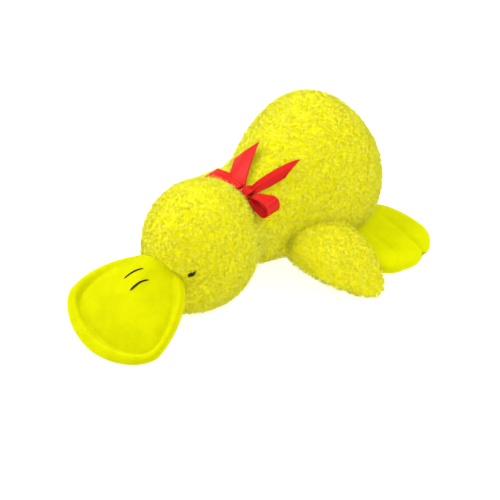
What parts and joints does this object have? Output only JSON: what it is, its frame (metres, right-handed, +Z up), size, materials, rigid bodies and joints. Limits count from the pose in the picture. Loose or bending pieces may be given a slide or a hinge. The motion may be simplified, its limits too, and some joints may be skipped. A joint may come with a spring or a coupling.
{
  "type": "plush duck",
  "caption": "Plush duck that lies on its belly, with a broad soft bill, hanging wings, webbed feet and a ribbon bow round its neck.",
  "frame": {"origin": "on the floor, under the middle of the duck's own box", "axes": "+Z up, the bill points toward -Y, the duck's own left side is toward +X"},
  "size_m": [0.253, 0.377, 0.1473],
  "materials": {
    "plush": "curly short-pile plush",
    "smooth_plush": "short smooth-pile plush",
    "satin": "satin ribbon",
    "thread": "embroidery thread",
    "fibre": "loose polyester fibre"
  },
  "bodies": {
    "torso": {"torso_cover": "plush", "torso_filling": "fibre", "ribbon_band": "satin", "ribbon_knot": "satin", "ribbon_loop_left": "satin", "ribbon_loop_right": "satin", "ribbon_tail_left": "satin", "ribbon_tail_right": "satin"},
    "neck": {"neck_filling": "fibre"},
    "head": {"head_cover": "plush", "head_filling": "fibre", "bill_cover": "smooth_plush", "bill_filling": "fibre", "eye_left": "thread", "eye_right": "thread", "nostril_left": "thread", "nostril_right": "thread"},
    "wing_left": {"wing_left_cover": "plush", "wing_left_filling": "fibre"},
    "wing_right": {"wing_right_cover": "plush", "wing_right_filling": "fibre"},
    "foot_left": {"foot_left_cover": "smooth_plush", "foot_left_filling": "fibre"},
    "foot_right": {"foot_right_cover": "smooth_plush", "foot_right_filling": "fibre"}
  },
  "joints": [
    {"name": "neck_lift", "type": "hinge", "parent": "torso", "child": "neck", "pos_m": [0, -0.00865, 0.105], "axis": [-1, 0, 0], "range_deg": [0, 25]},
    {"name": "head_turn", "type": "hinge", "parent": "neck", "child": "head", "pos_m": [0, -0.00865, 0.062], "axis": [0, -1, 0], "range_deg": [-35, 35]},
    {"name": "wing_left_lift", "type": "hinge", "parent": "torso", "child": "wing_left", "pos_m": [0.0625, 0.0525, 0.0545], "axis": [-0.3714, -0.9285, 0], "range_deg": [0, 50]},
    {"name": "wing_right_lift", "type": "hinge", "parent": "torso", "child": "wing_right", "pos_m": [-0.0625, 0.0525, 0.0545], "axis": [-0.3714, 0.9285, 0], "range_deg": [0, 50]},
    {"name": "foot_left_lift", "type": "hinge", "parent": "torso", "child": "foot_left", "pos_m": [0.063, 0.1365, 0.0255], "axis": [0.3387, -0.9409, 0], "range_deg": [0, 35]},
    {"name": "foot_right_lift", "type": "hinge", "parent": "torso", "child": "foot_right", "pos_m": [-0.063, 0.1365, 0.0255], "axis": [0.3387, 0.9409, 0], "range_deg": [0, 35]}
  ]
}
